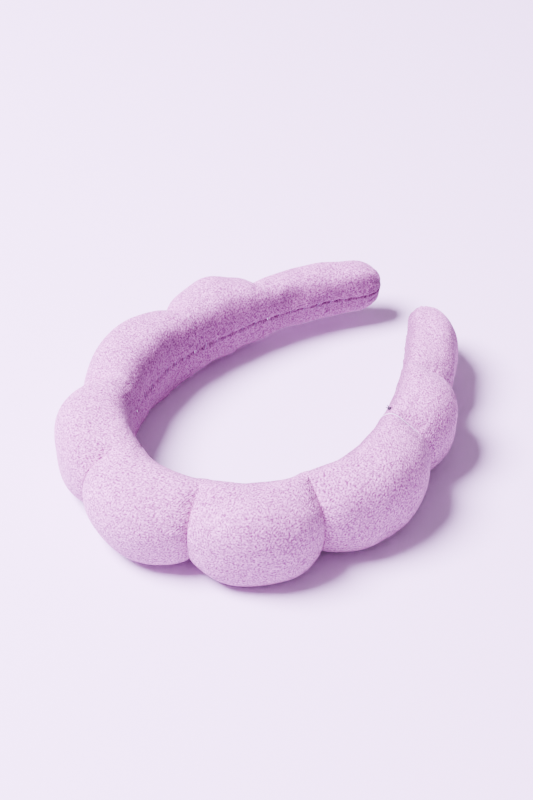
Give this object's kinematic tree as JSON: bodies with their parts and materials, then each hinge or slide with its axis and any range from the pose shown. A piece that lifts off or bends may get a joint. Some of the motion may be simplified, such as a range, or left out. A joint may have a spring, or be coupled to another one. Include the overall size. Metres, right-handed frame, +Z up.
{
  "type": "spa headband",
  "caption": "Padded spa headband: a sprung open hoop in nine sponge-filled, gathered terry lobes that taper to two free tips.",
  "frame": {"origin": "middle of the object's footprint, on the surface it lies on", "axes": "+Z up across the band's width, the crown lobe at -Y, the two tips at +Y, the right arm at +X"},
  "size_m": [0.1668, 0.2037, 0.04],
  "materials": {
    "terry": "lilac looped terry knit, soft pile with a pale sheen at grazing angles",
    "sponge": "off-white open-cell sponge",
    "hoop_plastic": "white moulded plastic, satin",
    "clear_nylon": "clear nylon thread",
    "sewing_thread": "lilac sewing thread",
    "dark_thread": "near-black thread end"
  },
  "bodies": {
    "crown": {"hoop": "hoop_plastic", "pad_crown": "sponge", "cover_crown": "terry", "closing_seam_crown": "sewing_thread", "gather_left_1": "clear_nylon", "gather_right_1": "clear_nylon"},
    "right_1": {"pad_right_1": "sponge", "cover_right_1": "terry", "closing_seam_right_1": "sewing_thread", "gather_right_2": "clear_nylon"},
    "right_2": {"pad_right_2": "sponge", "cover_right_2": "terry", "closing_seam_right_2": "sewing_thread", "gather_right_3": "clear_nylon", "gather_knot": "dark_thread"},
    "right_3": {"pad_right_3": "sponge", "cover_right_3": "terry", "closing_seam_right_3": "sewing_thread", "gather_right_4": "clear_nylon"},
    "right_4": {"pad_right_4": "sponge", "cover_right_4": "terry", "closing_seam_right_4": "sewing_thread", "tip_stitches_right": "sewing_thread"},
    "left_1": {"pad_left_1": "sponge", "cover_left_1": "terry", "closing_seam_left_1": "sewing_thread", "gather_left_2": "clear_nylon"},
    "left_2": {"pad_left_2": "sponge", "cover_left_2": "terry", "closing_seam_left_2": "sewing_thread", "gather_left_3": "clear_nylon"},
    "left_3": {"pad_left_3": "sponge", "cover_left_3": "terry", "closing_seam_left_3": "sewing_thread", "gather_left_4": "clear_nylon"},
    "left_4": {"pad_left_4": "sponge", "cover_left_4": "terry", "closing_seam_left_4": "sewing_thread", "tip_stitches_left": "sewing_thread"}
  },
  "joints": [
    {"name": "right_flex_1", "type": "hinge", "parent": "crown", "child": "right_1", "pos_m": [0.01679, -0.06531, 0.02], "axis": [0, 0, -1], "range_deg": [-1, 5], "stiffness_Nm_per_rad": 8, "deforming": ["hoop"]},
    {"name": "right_flex_2", "type": "hinge", "parent": "right_1", "child": "right_2", "pos_m": [0.04691, -0.03889, 0.02], "axis": [0, 0, -1], "range_deg": [-0.85, 4.25], "deforming": ["hoop"]},
    {"name": "right_flex_3", "type": "hinge", "parent": "right_2", "child": "right_3", "pos_m": [0.05302, 0.01149, 0.02], "axis": [0, 0, -1], "range_deg": [-0.6, 3], "deforming": ["hoop"]},
    {"name": "right_flex_4", "type": "hinge", "parent": "right_3", "child": "right_4", "pos_m": [0.04069, 0.04817, 0.02], "axis": [0, 0, -1], "range_deg": [-0.35, 1.75], "deforming": ["hoop"]},
    {"name": "left_flex_1", "type": "hinge", "parent": "crown", "child": "left_1", "pos_m": [-0.02075, -0.06474, 0.02], "axis": [0, 0, 1], "range_deg": [-1, 5], "stiffness_Nm_per_rad": 8, "deforming": ["hoop"]},
    {"name": "left_flex_2", "type": "hinge", "parent": "left_1", "child": "left_2", "pos_m": [-0.04934, -0.03889, 0.02], "axis": [0, 0, 1], "range_deg": [-0.85, 4.25], "deforming": ["hoop"]},
    {"name": "left_flex_3", "type": "hinge", "parent": "left_2", "child": "left_3", "pos_m": [-0.05546, 0.01149, 0.02], "axis": [0, 0, 1], "range_deg": [-0.6, 3], "deforming": ["hoop"]},
    {"name": "left_flex_4", "type": "hinge", "parent": "left_3", "child": "left_4", "pos_m": [-0.04186, 0.05096, 0.02], "axis": [0, 0, 1], "range_deg": [-0.35, 1.75], "deforming": ["hoop"]}
  ],
  "couplings": [
    {"joint": "right_flex_2", "follows": "right_flex_1", "ratio": 0.85},
    {"joint": "right_flex_3", "follows": "right_flex_1", "ratio": 0.6},
    {"joint": "right_flex_4", "follows": "right_flex_1", "ratio": 0.35},
    {"joint": "left_flex_2", "follows": "left_flex_1", "ratio": 0.85},
    {"joint": "left_flex_3", "follows": "left_flex_1", "ratio": 0.6},
    {"joint": "left_flex_4", "follows": "left_flex_1", "ratio": 0.35}
  ]
}
